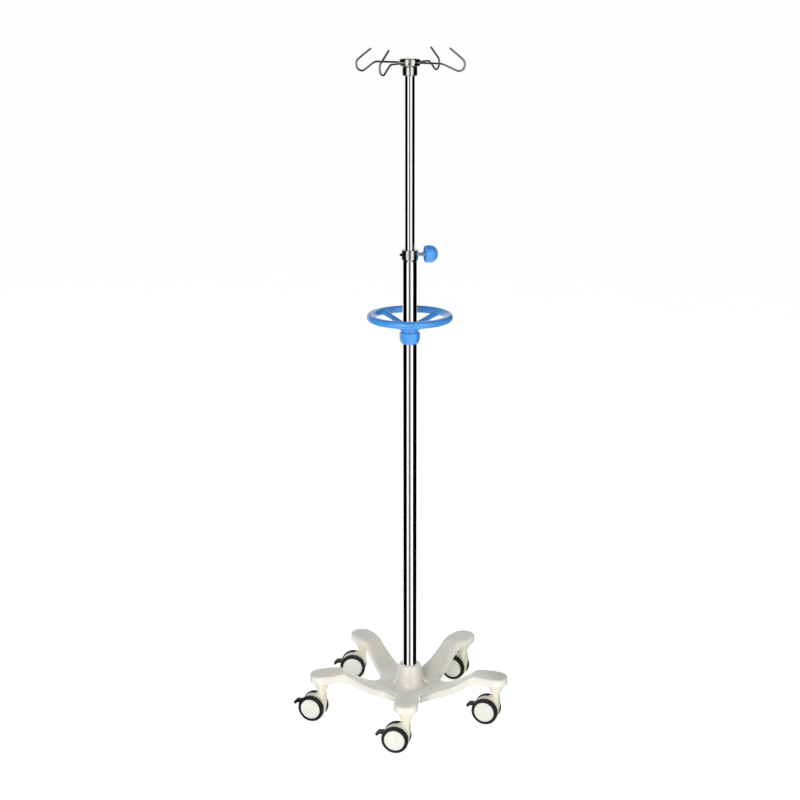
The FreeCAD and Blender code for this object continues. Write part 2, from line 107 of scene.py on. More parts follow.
# ---------------------------------------------------------------- shapes
def rounded(points, closed=True, step=7.0, hold=0.5):
    """An outline of (a, b) or (a, b, radius) corners as points, each radius a tangent arc.

    Straight stretches get a point close to each end, which keeps their shading flat.
    """
    corners = [np.array(p[:2], float) for p in points]
    radii = [p[2] if len(p) > 2 else 0.0 for p in points]
    count = len(points)
    runs = []
    for i, (corner, radius) in enumerate(zip(corners, radii)):
        if radius <= 0 or (not closed and i in (0, count - 1)):
            runs.append([corner])
            continue
        back = corners[i - 1] - corner
        ahead = corners[(i + 1) % count] - corner
        back /= np.linalg.norm(back)
        ahead /= np.linalg.norm(ahead)
        half = math.acos(max(-1.0, min(1.0, float(back @ ahead)))) / 2
        middle = back + ahead
        centre = corner + middle / np.linalg.norm(middle) * radius / math.sin(half)
        first = corner + back * radius / math.tan(half) - centre
        last = corner + ahead * radius / math.tan(half) - centre
        start = math.atan2(first[1], first[0])
        turn = (math.atan2(last[1], last[0]) - start + math.pi) % (2 * math.pi) - math.pi
        steps = max(2, math.ceil(abs(math.degrees(turn)) / step))
        angles = [start + turn * k / steps for k in range(steps + 1)]
        runs.append([centre + radius * np.array([math.cos(a), math.sin(a)]) for a in angles])
    out = []
    for i, run in enumerate(runs):
        out += run
        if not closed and i == count - 1:
            break
        following = runs[(i + 1) % count][0]
        gap = following - run[-1]
        length = np.linalg.norm(gap)
        if length > 4 * hold:
            out += [run[-1] + gap * hold / length, following - gap * hold / length]
    return np.array(out)


def grid(rows, wrap_rows=False, wrap_columns=False):
    """Faces over an array of rows of points."""
    rows = np.asarray(rows, float)
    height, width = rows.shape[:2]
    faces = []
    for i in range(height if wrap_rows else height - 1):
        for j in range(width if wrap_columns else width - 1):
            a, b = i * width + j, i * width + (j + 1) % width
            c, d = (i + 1) % height * width + (j + 1) % width, (i + 1) % height * width + j
            faces.append((a, b, c, d))
    return rows.reshape(-1, 3), faces


def joined(shapes):
    points, faces = [], []
    for shape_points, shape_faces in shapes:
        start = sum(len(p) for p in points)
        points.append(shape_points)
        faces += [tuple(start + v for v in face) for face in shape_faces]
    return np.concatenate(points), faces


def placed(shape, matrix):
    """A shape carried by a matrix whose lengths are millimetres."""
    turn = np.array(matrix.to_3x3())
    return shape[0] @ turn.T + np.array(matrix.translation), shape[1]


def lathe(outline, segments=96, closed=True, swell=None):
    """A closed outline of (radius, height) turned about Z. swell(angle, radius, height) scales the radius."""
    rows = []
    for radius, height in outline:
        row = []
        for k in range(segments):
            angle = 2 * math.pi * k / segments
            r = radius * (swell(angle, radius, height) if swell else 1.0)
            row.append((r * math.cos(angle), r * math.sin(angle), height))
        rows.append(row)
    return grid(rows, wrap_rows=closed, wrap_columns=True)


def turned(corners, segments=96, swell=None):
    return lathe(rounded(corners), segments, swell=swell)


def sweep(path, radii, sides=24):
    """A round bar along a path of points, with a ball at each end that has a radius of its own."""
    path = [Vector(p) for p in path]
    count = len(path)
    rows = []
    side = None
    for i, point in enumerate(path):
        along = (path[min(i + 1, count - 1)] - path[max(i - 1, 0)]).normalized()
        if side is None:
            side = along.orthogonal().normalized()
        side = (side - along * side.dot(along)).normalized()
        other = along.cross(side)
        radius = float(radii[i]) if hasattr(radii, "__len__") else radii
        rows.append([point + radius * (math.cos(a) * side + math.sin(a) * other)
                     for a in np.linspace(0, 2 * math.pi, sides, endpoint=False)])
        if i in (0, count - 1):
            caps = []
            way = -along if i == 0 else along
            for tilt in np.linspace(0, math.pi / 2, 7)[1:]:
                ring = radius * max(math.cos(tilt), 1e-4)
                caps.append([point + way * radius * math.sin(tilt)
                             + ring * (math.cos(a) * side + math.sin(a) * other)
                             for a in np.linspace(0, 2 * math.pi, sides, endpoint=False)])
            rows = caps[::-1] + rows if i == 0 else rows + caps
    shape = grid([[tuple(p) for p in row] for row in rows], wrap_columns=True)
    last = len(rows) - 1
    shape[1].append(tuple(range(sides)))
    shape[1].append(tuple(last * sides + k for k in reversed(range(sides))))
    return shape


def smoothstep(low, high, value):
    t = min(1.0, max(0.0, (value - low) / (high - low)))
    return t * t * (3 - 2 * t)


# ---------------------------------------------------------------- pieces
def mesh_from(name, shape, sharp=42.0):
    """A mesh in metres from a shape, welded, with its normals outwards."""
    points, faces = shape
    mesh = bpy.data.meshes.new(name)
    mesh.from_pydata([tuple(p * MM) for p in points], [], faces)
    finish_mesh(mesh, sharp)
    return mesh


def finish_mesh(mesh, sharp):
    work = bmesh.new()
    work.from_mesh(mesh)
    bmesh.ops.remove_doubles(work, verts=work.verts, dist=2e-6)
    bmesh.ops.dissolve_degenerate(work, edges=work.edges, dist=1e-7)
    bmesh.ops.recalc_face_normals(work, faces=work.faces)
    work.to_mesh(mesh)
    work.free()
    mesh.polygons.foreach_set("use_smooth", [True] * len(mesh.polygons))
    mesh.set_sharp_from_angle(angle=math.radians(sharp))
    mesh.update()


def show(name, mesh, body, node, slot, place=None):
    """Puts a mesh in the scene as the piece that stands for a CAD node."""
    piece = bpy.data.objects.new(name, mesh)
    bpy.context.scene.collection.objects.link(piece)
    if place is not None:
        piece.matrix_world = place
    if not mesh.materials:
        mesh.materials.append(MATERIALS[slot])
    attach(piece, body)
    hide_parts(node)
    return piece


SOFTENED_SHARP = 60.0           # edges sharper than this stay sharp after smoothing


def softened(name, mesh, voxel, passes):
    """A remeshed copy of closed shells, fused into one skin with its edges rounded by smoothing."""
    source = bpy.data.objects.new(name, mesh)
    bpy.context.scene.collection.objects.link(source)
    remesh = source.modifiers.new("remesh", "REMESH")
    remesh.mode = "VOXEL"
    remesh.voxel_size = voxel * MM
    smooth = source.modifiers.new("smooth", "SMOOTH")
    smooth.factor = 0.5
    smooth.iterations = passes
    bpy.context.view_layer.update()
    result = bpy.data.meshes.new_from_object(source.evaluated_get(bpy.context.evaluated_depsgraph_get()))
    bpy.data.objects.remove(source)
    result.name = name
    finish_mesh(result, SOFTENED_SHARP)
    return result


def cad_copy(node, place=None):
    """The mesh of a CAD node, welded, carried back into a castor's own frame if place is given."""
    mesh = frame["nodes"][node].data.copy()
    mesh.materials.clear()
    if place is not None:
        mesh.transform(place.inverted())
    work = bmesh.new()
    work.from_mesh(mesh)
    bmesh.ops.remove_doubles(work, verts=work.verts, dist=2e-6)
    work.to_mesh(mesh)
    work.free()
    return mesh


# ---------------------------------------------------------------- materials
def node_tree(name):
    material = bpy.data.materials.new(name)
    material.use_nodes = True
    shader = material.node_tree.nodes["Principled BSDF"]
    return material, material.node_tree.nodes, material.node_tree.links, shader


def noise(nodes, links, scale, detail=3.0, stretch=(1, 1, 1)):
    """A noise in the object's own coordinates; scale is in waves per metre."""
    where = nodes.new("ShaderNodeTexCoord")
    mapping = nodes.new("ShaderNodeMapping")
    mapping.inputs["Scale"].default_value = stretch
    texture = nodes.new("ShaderNodeTexNoise")
    texture.inputs["Scale"].default_value = scale
    texture.inputs["Detail"].default_value = detail
    links.new(where.outputs["Object"], mapping.inputs["Vector"])
    links.new(mapping.outputs["Vector"], texture.inputs["Vector"])
    return texture.outputs["Fac"]


def remapped(nodes, links, value, low, high):
    """A noise value spread between two numbers."""
    spread = nodes.new("ShaderNodeMapRange")
    spread.inputs["From Min"].default_value = 0.3
    spread.inputs["From Max"].default_value = 0.7
    spread.inputs["To Min"].default_value = low
    spread.inputs["To Max"].default_value = high
    links.new(value, spread.inputs["Value"])
    return spread.outputs["Result"]


def blended(nodes, links, value, first, second):
    mix = nodes.new("ShaderNodeMix")
    mix.data_type = "RGBA"
    mix.inputs["A"].default_value = (*first, 1)
    mix.inputs["B"].default_value = (*second, 1)
    links.new(value, mix.inputs["Factor"])
    return mix.outputs["Result"]


def bumped(nodes, links, shader, value, strength, depth):
    bump = nodes.new("ShaderNodeBump")
    bump.inputs["Strength"].default_value = strength
    bump.inputs["Distance"].default_value = depth
    links.new(value, bump.inputs["Height"])
    links.new(bump.outputs["Normal"], shader.inputs["Normal"])


def plastic(name, colour, rough, grain=2600.0, bump=0.06, shade=0.985, coat=0.0):
    """Moulded plastic: faint colour drift from the moulding, a fine skin grain, slightly uneven gloss."""
    material, nodes, links, shader = node_tree(name)
    drift = noise(nodes, links, 9.0)
    darker = tuple(c * shade for c in colour)
    links.new(blended(nodes, links, drift, darker, colour), shader.inputs["Base Color"])
    handling = noise(nodes, links, 60.0, 4.0)
    links.new(remapped(nodes, links, handling, rough * 0.94, rough * 1.06), shader.inputs["Roughness"])
    bumped(nodes, links, shader, noise(nodes, links, grain, 2.0), bump, 0.00006)
    shader.inputs["IOR"].default_value = 1.5
    shader.inputs["Coat Weight"].default_value = coat
    shader.inputs["Coat Roughness"].default_value = 0.12
    return material


def metal(name, colour, rough, stretch=(1, 1, 1), scale=900.0, bump=0.05, shade=0.94):
    """Metal whose polish or turning marks are a stretched noise in roughness and height."""
    material, nodes, links, shader = node_tree(name)
    marks = noise(nodes, links, scale, 3.0, stretch)
    cloud = noise(nodes, links, 35.0, 2.0)
    darker = tuple(c * shade for c in colour)
    links.new(blended(nodes, links, cloud, darker, colour), shader.inputs["Base Color"])
    links.new(remapped(nodes, links, marks, rough * 0.7, rough * 1.35), shader.inputs["Roughness"])
    bumped(nodes, links, shader, marks, bump, 0.00003)
    shader.inputs["Metallic"].default_value = 1.0
    return material


def tyre_material():
    """Smooth black polyurethane with faint dust on it."""
    material, nodes, links, shader = node_tree("tyre")
    dust = remapped(nodes, links, noise(nodes, links, 260.0, 5.0), 0.0, 0.12)
    rubber, dusty = (0.007, 0.007, 0.008), (0.045, 0.043, 0.040)
    links.new(blended(nodes, links, dust, rubber, dusty), shader.inputs["Base Color"])
    links.new(remapped(nodes, links, noise(nodes, links, 90.0), 0.34, 0.5), shader.inputs["Roughness"])
    bumped(nodes, links, shader, noise(nodes, links, 1800.0), 0.1, 0.00005)
    shader.inputs["Specular IOR Level"].default_value = 0.25
    return material


ALONG_POLE = (1, 1, 0.02)
MATERIALS = {
    "base_plastic": plastic("base_plastic", (0.72, 0.705, 0.64), 0.26, coat=0.5),
    "caster_plastic": plastic("caster_plastic", (0.68, 0.65, 0.53), 0.32, bump=0.1),
    "wheel_plastic": plastic("wheel_plastic", (0.68, 0.68, 0.62), 0.28, coat=0.2),
    "tyre": tyre_material(),
    "black_plastic": plastic("black_plastic", (0.009, 0.009, 0.010), 0.38, grain=1800.0, bump=0.15),
    "polished_tube": metal("polished_tube", (0.82, 0.82, 0.83), 0.045, ALONG_POLE, 2200.0, 0.008, 0.985),
    "collar_steel": metal("collar_steel", (0.62, 0.605, 0.57), 0.13, (1, 1, 8), 500.0, 0.08),
    "hook_wire": metal("hook_wire", (0.33, 0.325, 0.32), 0.24, (1, 1, 1), 900.0, 0.06),
    "blue_plastic": plastic("blue_plastic", (0.05, 0.25, 0.64), 0.27, bump=0.05, coat=0.3),
    "zinc_plate": metal("zinc_plate", (0.58, 0.60, 0.63), 0.28, (1, 1, 1), 700.0, 0.15),
    "screw_thread": metal("screw_thread", (0.62, 0.55, 0.36), 0.24, (1, 1, 1), 700.0, 0.15),
    "black_screw": metal("black_screw", (0.05, 0.05, 0.055), 0.34, (1, 1, 1), 900.0, 0.15),
    "brass": metal("brass", (0.78, 0.58, 0.26), 0.22, (1, 1, 1), 700.0, 0.12),
    "nylon": plastic("nylon", (0.80, 0.80, 0.76), 0.42, bump=0.15),
}


def finish_cad_nodes():
    """Gives every CAD node its slot's finish; the ones that are replaced are hidden anyway."""
    for part in frame["record"]["subparts"]:
        node = frame["nodes"][part["node"]]
        for slot in node.material_slots:
            slot.material = MATERIALS[part["material_slot"]]


# ---------------------------------------------------------------- camera and studio
PHOTO_PIXELS = 800
FOCAL_PIXELS = 1594.2
CAMERA_DISTANCE, CAMERA_HEIGHT = 3.474, 1.703
CAMERA_YAW, CAMERA_PITCH = math.radians(2.34), math.radians(15.18)
SHIFT_PIXELS = -9.73


def make_camera():
    data = bpy.data.cameras.new("camera")
    data.sensor_width = 36.0
    data.lens = data.sensor_width * FOCAL_PIXELS / PHOTO_PIXELS
    data.shift_x = SHIFT_PIXELS / PHOTO_PIXELS
    data.clip_end = 500.0
    camera = bpy.data.objects.new("camera", data)
    camera.location = (CAMERA_DISTANCE * math.sin(CAMERA_YAW), -CAMERA_DISTANCE * math.cos(CAMERA_YAW),
                       CAMERA_HEIGHT)
    camera.rotation_euler = (math.pi / 2 - CAMERA_PITCH, 0, CAMERA_YAW)
    bpy.context.scene.collection.objects.link(camera)
    bpy.context.scene.camera = camera


FLOOR_HALF = 300.0
FLOOR_GLOW = 0.56


def make_floor():
    """Pale floor with a glow of its own, which keeps it near white and softens the shadows on it."""
    mesh = bpy.data.meshes.new("floor")
    size = FLOOR_HALF
    corners = [(-size, -size, 0), (size, -size, 0), (size, size, 0), (-size, size, 0)]
    mesh.from_pydata(corners, [], [(0, 1, 2, 3)])
    floor = bpy.data.objects.new("floor", mesh)
    bpy.context.scene.collection.objects.link(floor)
    material, nodes, links, shader = node_tree("floor_paint")
    tone = noise(nodes, links, 3.0, 2.0)
    paint = blended(nodes, links, tone, (0.93, 0.93, 0.93), (0.95, 0.95, 0.95))
    links.new(paint, shader.inputs["Base Color"])
    shader.inputs["Roughness"].default_value = 0.75
    shader.inputs["Emission Color"].default_value = (1, 1, 1, 1)
    shader.inputs["Emission Strength"].default_value = FLOOR_GLOW
    mesh.materials.append(material)
    floor.visible_glossy = False


CARD_R = 0.43                   # cards stand this far from the mast
CARD_LOW, CARD_HIGH = -1.2, 2.3
CARD_COLUMNS = 24


def make_card(name, start, end, tone):
    """A glowing curved card round the stand, seen only in reflections. Degrees from the camera's side."""
    centre = FRONT + CAMERA_YAW
    angles = centre + np.linspace(math.radians(start), math.radians(end), CARD_COLUMNS)
    rows = [[(CARD_R * math.cos(a), CARD_R * math.sin(a), z) for a in angles] for z in (CARD_LOW, CARD_HIGH)]
    points, faces = grid(rows)
    mesh = bpy.data.meshes.new(name)
    mesh.from_pydata([tuple(p) for p in points], [], faces)
    card = bpy.data.objects.new(name, mesh)
    bpy.context.scene.collection.objects.link(card)
    material, nodes, links, shader = node_tree(name)
    shader.inputs["Base Color"].default_value = (0, 0, 0, 1)
    shader.inputs["Specular IOR Level"].default_value = 0.0
    shader.inputs["Emission Color"].default_value = (1, 1, 1, 1)
    shader.inputs["Emission Strength"].default_value = tone
    mesh.materials.append(material)
    card.visible_camera = False
    card.visible_diffuse = False
    card.visible_shadow = False
    card.visible_transmission = False


def make_light(name, place, aim, size, power):
    data = bpy.data.lights.new(name, "AREA")
    data.shape = "DISK"
    data.size = size
    data.energy = power
    light = bpy.data.objects.new(name, data)
    light.location = place
    light.rotation_mode = "QUATERNION"
    light.rotation_quaternion = (Vector(aim) - Vector(place)).to_track_quat("-Z", "Y")
    bpy.context.scene.collection.objects.link(light)


SKY_HORIZON, SKY_OVERHEAD = 0.98, 0.24


def make_sky():
    """White all round, and dimmer overhead than at the horizon."""
    world = bpy.data.worlds.new("studio")
    world.use_nodes = True
    nodes, links = world.node_tree.nodes, world.node_tree.links
    nodes["Background"].inputs["Color"].default_value = (1, 1, 1, 1)
    where = nodes.new("ShaderNodeTexCoord")
    parts = nodes.new("ShaderNodeSeparateXYZ")
    tone = nodes.new("ShaderNodeMapRange")
    tone.inputs["From Min"].default_value = 0.0
    tone.inputs["From Max"].default_value = 0.9
    tone.inputs["To Min"].default_value = SKY_HORIZON
    tone.inputs["To Max"].default_value = SKY_OVERHEAD
    links.new(where.outputs["Generated"], parts.inputs["Vector"])
    links.new(parts.outputs["Z"], tone.inputs["Value"])
    links.new(tone.outputs["Result"], nodes["Background"].inputs["Strength"])
    bpy.context.scene.world = world


def make_studio():
    bpy.context.scene.view_settings.view_transform = "Standard"
    make_sky()
    make_floor()
    make_card("dark_card_left", -125, -47, 0.0)
    make_card("dark_card_right", 54, 150, 0.0)
    make_card("grey_card", -17, 15, 0.12)
    make_card("white_card_left", -47, -17, 1.3)
    make_card("white_card_right", 15, 54, 1.3)
    make_light("key", (-0.7, -2.9, 1.5), (0, 0, 0.3), 1.0, 44)
    make_light("fill", (2.2, -2.2, 1.6), (0, 0, 0.5), 1.8, 14)
    make_light("back", (0.6, 2.6, 2.6), (0, 0, 0.5), 1.8, 10)


# ---------------------------------------------------------------- five-star base
SIDE = 21.5                     # half width of a leg where it starts to flare
TAPER = 0.11                    # how much each side spreads towards the hub
WEB_R = 42.0                    # plan radius between legs
FLARE = (152.0, 198.0)          # the leg widens to its end between these distances
EDGE_R = 4.6                    # rounding along the top edge
FOOT_R = 3.2                    # rounding along the bottom edge
LIP = 5.2                       # wall of the hollow underside
CROWN = 1.8                     # how much a leg's top is domed across
BORE = COLUMN_R + 0.05
STEM_R = 5.6                    # hole for a castor's stem
CEILING = 4.0                   # thickness of the top skin
PAD_FOOT = span("stem_cups")[1].z
HUB_TOP, CONE_TOP = 61.0, 117.0
SPIGOT_FOOT = 57.0              # underside of the solid round the column
WEB_STEPS = 16                  # points round half a web


def base_profiles():
    """Height against distance from the mast, for the cone, the top of a leg, and its underside."""
    cone = rounded([(BORE, CONE_TOP), (25, CONE_TOP, 6), (34.6, 62, 19), (54, HUB_TOP)], closed=False, step=5)
    top = rounded([(48, HUB_TOP), (58, HUB_TOP, 50), (104, 78.5, 220), (162, 119.2, 9), (REACH + 60, 117)],
                  closed=False, step=2)
    under = rounded([(0, 43), (56, 43, 60), (104, 58, 220), (168, PAD_FOOT, 18), (REACH + 60, PAD_FOOT)],
                    closed=False, step=2)
    return cone, top, under


CONE, TOP, UNDER = base_profiles()


def along_leg(x, y):
    """Distance used to read the profiles: radial near the hub, straight along the leg further out."""
    radius = math.hypot(x, y)
    blend = smoothstep(60, 118, radius)
    return radius * (1 - blend) + x * blend


def top_height(x, y):
    return float(np.interp(along_leg(x, y), TOP[:, 0], TOP[:, 1]))


def under_height(x, y):
    return float(np.interp(along_leg(x, y), UNDER[:, 0], UNDER[:, 1]))


def half_width(x):
    """Half width of a leg at a distance from the mast, outside the webs."""
    spread = TAPER * max(0.0, FLARE[0] - x)
    return SIDE + spread + (PAD - SIDE) * smoothstep(*FLARE, x)


def leg_edge():
    """A leg's +Y edge from web to tip: points, outward normals, and a centre-line distance for each."""
    lean = math.atan(TAPER)
    corner_x = (SIDE + TAPER * FLARE[0]) / (math.tan(HALF_LEG) + TAPER)
    reach = corner_x / math.cos(HALF_LEG) + WEB_R / math.sin(HALF_LEG + lean)
    centre = reach * np.array([math.cos(HALF_LEG), math.sin(HALF_LEG)])
    web_r = reach - WEB_R
    straight = centre[0] - WEB_R * math.sin(lean)
    edge = []
    for share in np.linspace(0, 1, WEB_STEPS):
        angle = math.pi + HALF_LEG + share * (math.pi / 2 - HALF_LEG - lean)
        out = np.array([math.cos(angle), math.sin(angle)])
        edge.append((centre + WEB_R * out, -out, web_r + share * (straight - web_r)))
    stretch = np.concatenate([np.linspace(straight, 152, 16)[1:], np.linspace(152, 174, 15)[1:],
                              np.linspace(174, STEM_CIRCLE, 12)[1:]])
    for x in stretch:
        y = half_width(x)
        slope = (half_width(x + 0.1) - y) / 0.1
        out = np.array([-slope, 1.0]) / math.hypot(slope, 1.0)
        edge.append((np.array([x, y]), out, x))
    for angle in np.linspace(0, math.pi / 2, 14)[1:]:
        out = np.array([math.sin(angle), math.cos(angle)])
        edge.append((np.array([STEM_CIRCLE, 0]) + PAD * out, out, STEM_CIRCLE + 0.55 * PAD * math.sin(angle)))
    return edge


EDGE = leg_edge()
ACROSS = 9                      # cells across half a leg


def cross_row(centre_x, edge_point, height):
    """One row of points over a leg, bowed like an arc near the hub."""
    row = []
    for k in range(-ACROSS, ACROSS + 1):
        v = k / ACROSS
        bow = (1 - math.cos(v * HALF_LEG)) / (1 - math.cos(HALF_LEG))
        x = centre_x + (edge_point[0] - centre_x) * bow
        y = edge_point[1] * math.sin(v * HALF_LEG) / math.sin(HALF_LEG)
        row.append((x, y, height(x, y, v)))
    return row


def hub_row(radius, height):
    edge_point = (radius * math.cos(HALF_LEG), radius * math.sin(HALF_LEG))
    return cross_row(radius, edge_point, lambda x, y, v: height)


def leg_rows(inset, drop, crown):
    """Rows over a leg out of the hub, from its web to its tip, held inset from the edge."""
    rows = []
    web_r, straight = EDGE[0][2], EDGE[WEB_STEPS - 1][2]
    for point, out, centre_x in EDGE:
        inner = point - inset * out
        fade = crown * smoothstep(70, 120, centre_x) * (1 - 0.7 * smoothstep(140, 190, centre_x))
        start = centre_x
        if centre_x > STEM_CIRCLE:
            start = STEM_CIRCLE + (centre_x - STEM_CIRCLE) * (PAD - inset) / PAD
        elif centre_x < straight:
            start = centre_x - inset * (straight - centre_x) / (straight - web_r)
        rows.append(cross_row(start, inner, lambda x, y, v: top_height(x, y) - drop - fade * v * v))
    return rows


def leg_shell():
    """A fifth of the moulding along +X: domed top, rounded edge, side wall, lip and hollow underside."""
    web_r = EDGE[0][2]
    cone_rows = [hub_row(r, z) for r, z in CONE]
    hub_rows = [hub_row(r, top_height(r, 0)) for r in np.linspace(56, web_r - EDGE_R - 1.5, 8)]
    top_rows = cone_rows + hub_rows + leg_rows(EDGE_R, 0.0, CROWN)
    ceiling_rows = leg_rows(LIP, CEILING, CROWN)
    under_rows = [hub_row(BORE, SPIGOT_FOOT), hub_row(30, SPIGOT_FOOT)] + ceiling_rows
    bore = [hub_row(BORE, SPIGOT_FOOT), hub_row(BORE, CONE_TOP)]
    shapes = [grid(top_rows), grid(under_rows), grid(bore)]
    start = len(cone_rows) + len(hub_rows)
    for side in (0, -1):
        sign = -1 if side == 0 else 1
        strip = []
        for k, (point, out, centre_x) in enumerate(EDGE):
            edge_z = top_rows[start + k][side][2]
            foot = under_height(*point)
            column = [top_rows[start + k][side]]

            def stop(inset, z):
                x, y = point - inset * out
                column.append((x, sign * y, z))

            for tilt in np.linspace(0, math.pi / 2, 8)[1:]:
                stop(EDGE_R * (1 - math.sin(tilt)), edge_z - EDGE_R * (1 - math.cos(tilt)))
            stop(0, foot + FOOT_R + 0.6)
            for tilt in np.linspace(0, math.pi / 2, 6):
                stop(FOOT_R * (1 - math.cos(tilt)), foot + FOOT_R * (1 - math.sin(tilt)))
            stop(LIP - 0.6, foot)
            stop(LIP, foot + 0.6)
            column.append(ceiling_rows[k][side])
            strip.append(column)
        shapes.append(grid(strip))
    return joined(shapes)


def rib():
    """The upright rib down the middle of a leg's hollow."""
    stations = np.linspace(44, STEM_CIRCLE - 16, 20)
    rows = []
    for x in stations:
        low, high = under_height(x, 0) + 1.5, top_height(x, 0) - CEILING / 2
        rows.append([(x, -1.6, low), (x, 1.6, low), (x, 1.2, high), (x, -1.2, high)])
    shape = grid(rows, wrap_columns=True)
    shape[1].append((0, 1, 2, 3))
    last = 4 * (len(stations) - 1)
    shape[1].append((last + 3, last + 2, last + 1, last))
    return shape


def base_star():
    boss = turned([(BORE, 40), (40, 40, 3), (46.5, 47, 2), (46.5, 58.5), (BORE, 58.5)])
    socket_top = PAD_FOOT + 11
    socket = turned([(STEM_R, PAD_FOOT), (17.5, PAD_FOOT, 0.8), (18, socket_top), (STEM_R, socket_top)], 48)
    shapes = [boss]
    for leg in range(LEGS):
        turn = Matrix.Rotation(FRONT + leg * 2 * HALF_LEG, 4, "Z")
        shapes += [placed(leg_shell(), turn), placed(rib(), turn)]
        shapes.append(placed(socket, turn @ Matrix.Translation((STEM_CIRCLE, 0, 0))))
    show("base_moulding", mesh_from("base_moulding", joined(shapes), 50), "base", "base_star", "base_plastic")


def stem_cups():
    """Stepped cups under the leg ends."""
    low, high = span("stem_cups")
    cup = turned([(STEM_R, low.z), (13.4, low.z, 0.9), (13.8, low.z + 6.5, 1.5), (16.8, low.z + 8.5, 1.5),
                  (16.8, high.z), (STEM_R, high.z)], 72)
    places = [Matrix.Rotation(FRONT + leg * 2 * HALF_LEG, 4, "Z") @ Matrix.Translation((STEM_CIRCLE, 0, 0))
              for leg in range(LEGS)]
    mesh = mesh_from("stem_cup_set", joined([placed(cup, place) for place in places]))
    show("stem_cup_set", mesh, "base", "stem_cups", "caster_plastic")


# ---------------------------------------------------------------- column, mast, collar, knob
def tube(name, node, body, bore):
    """A polished tube with its cut ends eased."""
    low, high = span(node)
    radius = high.x
    outline = [(bore, low.z, 0.3), (radius, low.z, 0.4), (radius, high.z, 0.4), (bore, high.z, 0.3)]
    show(name, mesh_from(name, turned(outline, 160)), body, node, "polished_tube")


CLAMP_WAY = Vector(JOINTS["clamp_knob_turn"]["axis"])
CLAMP_Z = joint_point("clamp_knob_turn").z
CLAMP = (Matrix.Translation((0, 0, CLAMP_Z)) @ Matrix.Rotation(math.atan2(CLAMP_WAY.y, CLAMP_WAY.x), 4, "Z")
         @ Matrix.Rotation(math.pi / 2, 4, "Y"))
THREAD_PITCH = 1.25
KNOB_NEAR, KNOB_FAR = 28.2, 63.2       # along the clamp's axis, from the mast's
KNOB_RIM = 33.8                        # where its skirt starts
KNOB_DOME = 45                         # where its domed end starts
KNOB_R = 19.8
COLLAR_R = 18.8


def collar():
    """Cast clamp collar with a chamfered foot, an eased rim, and a small boss round the clamp screw."""
    low, high = span("clamp_collar")
    body = turned([(BORE, low.z), (COLLAR_R - 2.8, low.z, 0.6), (COLLAR_R, low.z + 5, 1.8),
                   (COLLAR_R, high.z, 1.7), (MAST_R + 0.7, high.z, 0.9), (MAST_R + 0.7, high.z - 4),
                   (BORE, high.z - 4)], 128)
    near, far = COLLAR_R - 2, COLLAR_R + 0.6
    boss = placed(turned([(4.2, near), (6.2, near), (6.2, far, 0.5), (4.2, far, 0.3)], 48), CLAMP)
    mesh = mesh_from("collar_body", joined([body, boss]))
    show("collar_body", mesh, "base", "clamp_collar", "collar_steel")


def clamp_screw():
    """Threaded shank with its real helix."""
    segments, rows = 40, []
    crest, root = 4.0, 3.4
    start, end = 14.4, 44.6
    for s in np.arange(start, end, THREAD_PITCH / 10):
        fade = min(1.0, (s - start) / 1.2, (end - s) / 1.2)
        row = []
        for k in range(segments):
            angle = 2 * math.pi * k / segments
            phase = (s / THREAD_PITCH - k / segments) % 1.0
            radius = root + (crest - root) * max(0.0, fade) * (1 - abs(2 * phase - 1))
            row.append((radius * math.cos(angle), radius * math.sin(angle), s))
        rows.append(row)
    thread = grid(rows, wrap_columns=True)
    thread[1].append(tuple(range(segments)))
    last = (len(rows) - 1) * segments
    thread[1].append(tuple(last + k for k in reversed(range(segments))))
    mesh = mesh_from("threaded_shank", placed(thread, CLAMP), 60)
    show("threaded_shank", mesh, "clamp_knob_body", "clamp_screw", "screw_thread")


def knob():
    """Bell-shaped knob with six soft flutes, hollow at its back round the neck."""
    near, far = KNOB_NEAR, KNOB_FAR

    def flutes(angle, radius, height):
        if radius < 9:
            return 1.0
        rise = smoothstep(KNOB_RIM + 0.5, KNOB_RIM + 9, height)
        depth = 0.085 * rise * (1 - smoothstep(far - 14, far - 3, height))
        return 1 - depth * (0.5 - 0.5 * math.cos(6 * angle)) ** 1.4

    dome = [(KNOB_R * math.cos(a), KNOB_DOME + (far - KNOB_DOME) * math.sin(a))
            for a in np.linspace(0.05, math.pi / 2 - 0.001, 22)]
    back = rounded([(0.001, near + 17), (4.05, near + 17), (4.05, near), (5.6, near, 0.9),
                    (5.9, KNOB_RIM + 5, 2), (16.2, KNOB_RIM + 5, 2.5), (16.6, KNOB_RIM, 0.4),
                    (18.5, KNOB_RIM, 1.1), (KNOB_R, 41, 12), (KNOB_R, KNOB_DOME)], closed=False)
    outline = np.concatenate([back, dome])
    shape = placed(lathe(outline, 144, swell=flutes), CLAMP)
    show("knob_bell", mesh_from("knob_bell", shape, 50), "clamp_knob_body", "clamp_knob", "blue_plastic")


# ---------------------------------------------------------------- head and hooks
HOOKS = 4
HOOK_R = 2.25
HOOK_BEND = 14.0
HOOK_CENTRE = 121.0
HOOK_LEAN = math.radians(145)


def hook_head():
    low, high = span("hook_head")
    seam = low.z + 18.5
    radius = high.x
    outline = [(MAST_R + 0.05, low.z), (16.5, low.z, 2.8), (16.5, seam, 0.5), (15.5, seam + 0.5, 0.3),
               (17.1, seam + 1.0, 0.4), (22.4, seam + 2.7, 4), (radius, high.z - 9.5, 7), (22.8, high.z, 5.5),
               (0.001, high.z), (0.001, low.z + 18.2), (MAST_R + 0.05, low.z + 18.2)]
    show("head_casting", mesh_from("head_casting", turned(outline, 128)), "mast", "hook_head", "collar_steel")


def arc(centre, radius, start, end, steps):
    return [(centre[0] + radius * math.cos(a), centre[1] + radius * math.sin(a))
            for a in np.linspace(start, end, steps)]


